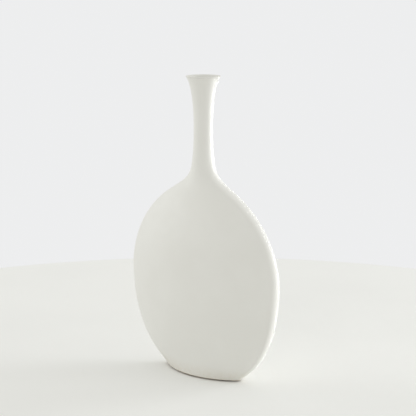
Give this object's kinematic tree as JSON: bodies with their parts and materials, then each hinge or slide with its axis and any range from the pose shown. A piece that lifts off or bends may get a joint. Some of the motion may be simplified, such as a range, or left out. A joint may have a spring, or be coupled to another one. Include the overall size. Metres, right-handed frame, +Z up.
{
  "type": "ceramic bud vase",
  "caption": "Flat-sided ceramic bud vase with a rounded lens-shaped body, a slim round neck and a flared lip, standing on small felt pads.",
  "frame": {"origin": "on the resting plane, under the middle of the foot", "axes": "+Z up along the neck, X along the width of the flat body, Y through its depth with -Y the face seen in the picture"},
  "size_m": [0.184, 0.056, 0.2913],
  "materials": {
    "glazed_ceramic": "satin-matte off-white glaze over pale clay, bare on the foot ring",
    "felt": "dark brown pressed wool felt, self-adhesive back"
  },
  "bodies": {
    "root": {"vase_body": "glazed_ceramic", "felt_pad_right_end": "felt", "felt_pad_left_end": "felt", "felt_pad_front": "felt", "felt_pad_back": "felt"}
  },
  "joints": []
}
